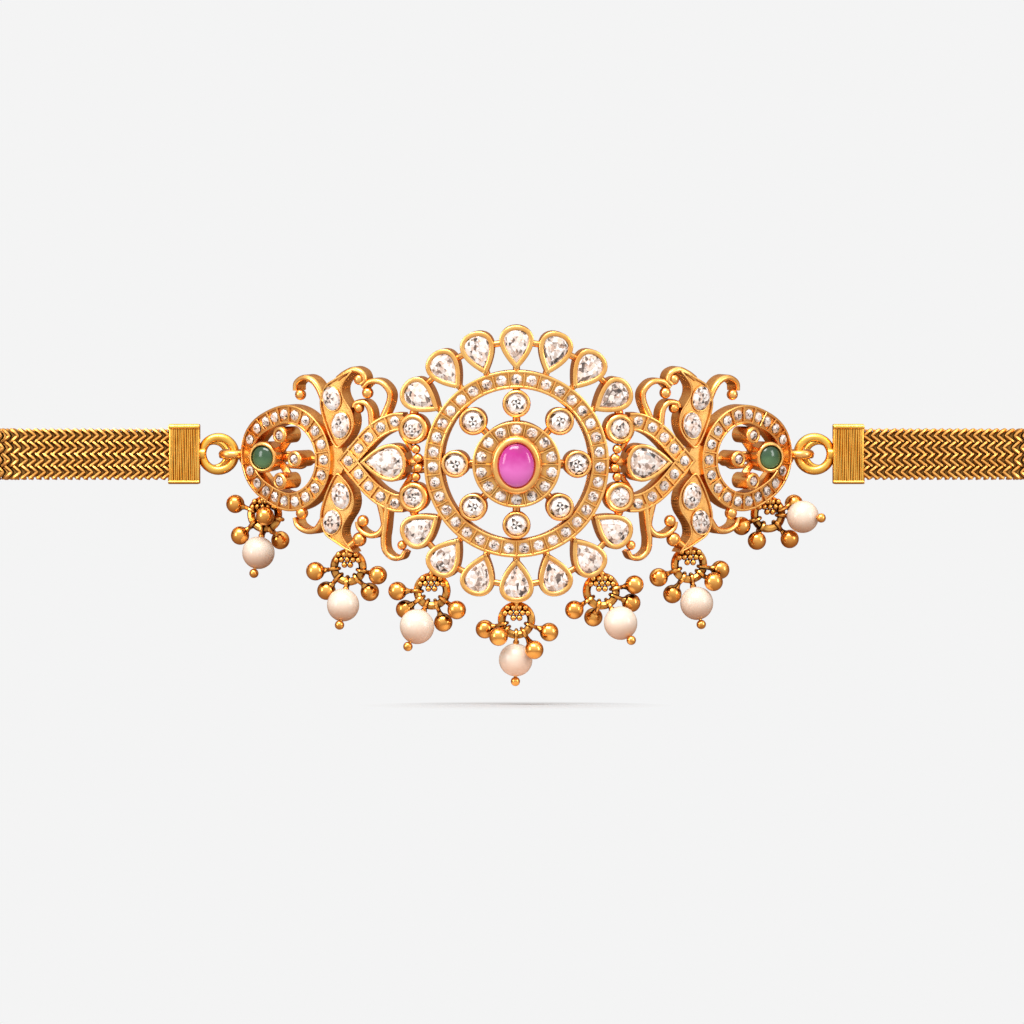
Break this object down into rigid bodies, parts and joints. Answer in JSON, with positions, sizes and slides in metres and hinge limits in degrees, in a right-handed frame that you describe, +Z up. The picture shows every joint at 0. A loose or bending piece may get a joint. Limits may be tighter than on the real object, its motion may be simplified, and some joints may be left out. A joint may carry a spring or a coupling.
{
  "type": "bajuband armlet",
  "caption": "Upper-arm band: a pierced gold ornament set with clear stones, a ruby and emeralds, with bead and pearl drops, on a woven gold band closed by a chain.",
  "frame": {"origin": "middle of the loop, where the arm goes through, at the middle of the band's height", "axes": "+Z up along the arm, +X to the viewer's right along the loop's long way, the ornament faces -Y"},
  "size_m": [0.14, 0.036, 0.0454],
  "materials": {
    "gold": "polished yellow gold",
    "antique_gold": "oxidised gold",
    "woven_gold": "woven gold wire",
    "clear_stone": "cut and polished",
    "ruby": "polished cabochon",
    "emerald": "polished cabochon",
    "pearl": "cream lustre"
  },
  "bodies": {
    "root": {"ornament_frame": "gold", "ruby": "ruby", "emerald_left": "emerald", "emerald_right": "emerald", "crown_pear_1": "clear_stone", "crown_pear_2": "clear_stone", "crown_pear_3": "clear_stone", "crown_pear_4": "clear_stone", "crown_pear_5": "clear_stone", "crown_pear_6": "clear_stone", "crown_pear_7": "clear_stone", "crown_pear_8": "clear_stone", "crown_pear_9": "clear_stone", "crown_pear_10": "clear_stone", "crown_pear_11": "clear_stone", "crown_pear_12": "clear_stone", "crown_pear_13": "clear_stone", "crown_pear_14": "clear_stone", "round_stone_1": "clear_stone", "round_stone_2": "clear_stone", "round_stone_3": "clear_stone", "round_stone_4": "clear_stone", "round_stone_5": "clear_stone", "round_stone_6": "clear_stone", "round_stone_7": "clear_stone", "round_stone_8": "clear_stone", "heart_stones_left": "clear_stone", "leaf_stones_left": "clear_stone", "eye_stones_left": "clear_stone", "wing_pave_left": "clear_stone", "woven_band_left": "woven_gold", "front_cap_left": "gold", "back_cap_left": "gold", "closing_chain_left": "gold", "heart_stones_right": "clear_stone", "leaf_stones_right": "clear_stone", "eye_stones_right": "clear_stone", "wing_pave_right": "clear_stone", "woven_band_right": "woven_gold", "front_cap_right": "gold", "back_cap_right": "gold", "closing_chain_right": "gold", "ring_pave": "clear_stone", "halo_pave": "clear_stone", "clasp_hook": "gold", "drop_gold_1": "antique_gold", "drop_gold_2": "antique_gold", "drop_gold_3": "antique_gold", "drop_gold_4": "antique_gold", "drop_gold_5": "antique_gold", "drop_gold_6": "antique_gold", "drop_gold_7": "antique_gold", "pearl_1": "pearl", "pearl_2": "pearl", "pearl_3": "pearl", "pearl_4": "pearl", "pearl_5": "pearl", "pearl_6": "pearl", "pearl_7": "pearl"}
  },
  "joints": []
}
